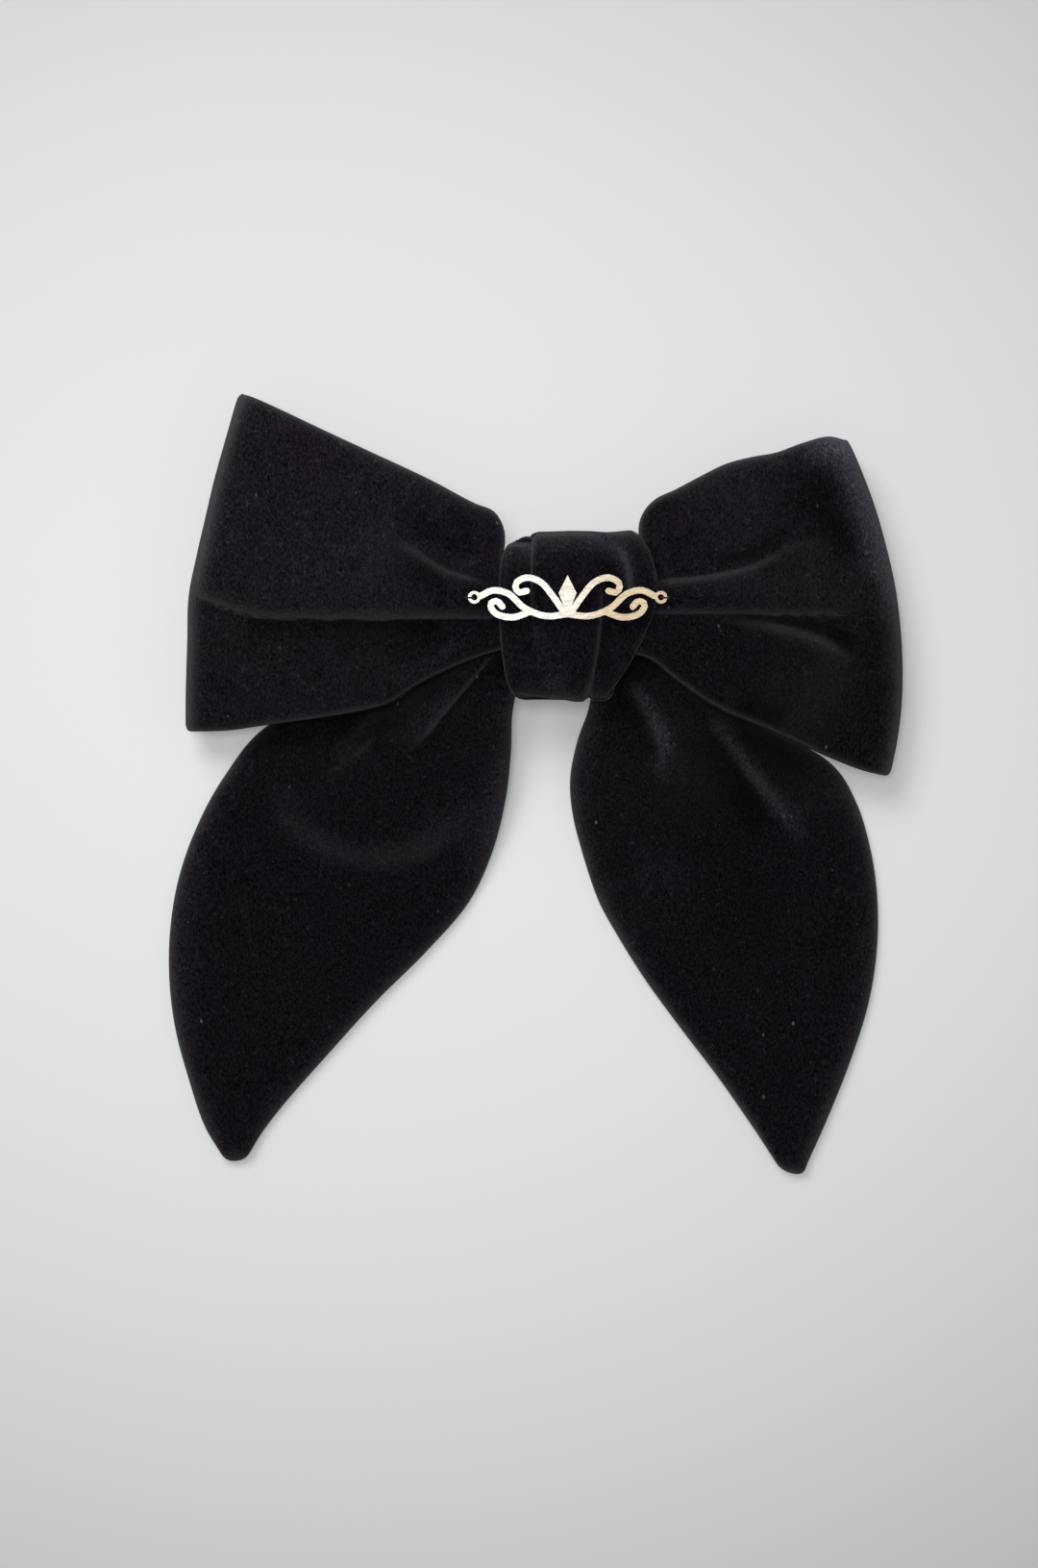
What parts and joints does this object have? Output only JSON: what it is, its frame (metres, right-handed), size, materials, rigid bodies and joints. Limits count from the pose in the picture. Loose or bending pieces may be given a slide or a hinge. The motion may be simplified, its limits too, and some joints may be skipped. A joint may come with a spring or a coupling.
{
  "type": "hair bow",
  "caption": "Large black velvet hair bow with puffed loops, a pleated knot, leaf-shaped tails and a gold openwork plate, on a spring barrette.",
  "frame": {"origin": "middle of the barrette arm's underside, behind the knot", "axes": "+Z towards the bow's front, +Y up the bow, away from the tails, +X towards its right loop as seen from the front"},
  "size_m": [0.1768, 0.1882, 0.0299],
  "materials": {
    "velvet": "short dense pile",
    "interlining": "non-woven",
    "wadding": "loose fibre",
    "felt": "pressed felt",
    "thread": "twisted",
    "pale_gold": "satin",
    "spring_steel": "nickel plated"
  },
  "bodies": {
    "bow": {"loop_outer_velvet": "velvet", "loop_interlining": "interlining", "loop_inner_velvet": "velvet", "loop_gather_thread": "thread", "knot_band": "velvet", "knot_wadding": "wadding", "backing_felt": "felt", "scroll_plate": "pale_gold", "left_plate_stitch": "thread", "right_plate_stitch": "thread", "barrette_base": "spring_steel", "tension_spring": "spring_steel", "spring_rivet": "spring_steel", "hinge_pin": "spring_steel", "barrette_stitch_left": "thread", "barrette_stitch_right": "thread"},
    "left_tail": {"left_tail_front": "velvet", "left_tail_interlining": "interlining", "left_tail_back": "velvet", "left_tail_gather_thread": "thread"},
    "right_tail": {"right_tail_front": "velvet", "right_tail_interlining": "interlining", "right_tail_back": "velvet", "right_tail_gather_thread": "thread"},
    "arm": {"barrette_arm": "spring_steel"},
    "upper_wing": {"catch_wing_upper": "spring_steel"},
    "lower_wing": {"catch_wing_lower": "spring_steel"}
  },
  "joints": [
    {"name": "arm_hinge", "type": "hinge", "parent": "bow", "child": "arm", "pos_m": [-0.038, 0, 0.0045], "axis": [0, 1, 0], "range_deg": [0, 65]},
    {"name": "upper_wing_pinch", "type": "hinge", "parent": "bow", "child": "upper_wing", "pos_m": [0.0365, 0.00235, 0.0077], "axis": [-1, 0, 0], "range_deg": [0, 8], "stiffness_Nm_per_rad": 0.01},
    {"name": "lower_wing_pinch", "type": "hinge", "parent": "bow", "child": "lower_wing", "pos_m": [0.0365, -0.00235, 0.0077], "axis": [1, 0, 0], "range_deg": [0, 8], "stiffness_Nm_per_rad": 0.01},
    {"name": "left_tail_swing", "type": "hinge", "parent": "bow", "child": "left_tail", "pos_m": [-0.011, 0, 0.0127], "axis": [0, 0, 1], "range_deg": [-3, 8], "stiffness_Nm_per_rad": 0.003},
    {"name": "right_tail_swing", "type": "hinge", "parent": "bow", "child": "right_tail", "pos_m": [0.008, 0, 0.0127], "axis": [0, 0, 1], "range_deg": [-8, 3], "stiffness_Nm_per_rad": 0.003}
  ],
  "couplings": [
    {"joint": "lower_wing_pinch", "follows": "upper_wing_pinch", "ratio": 1}
  ]
}
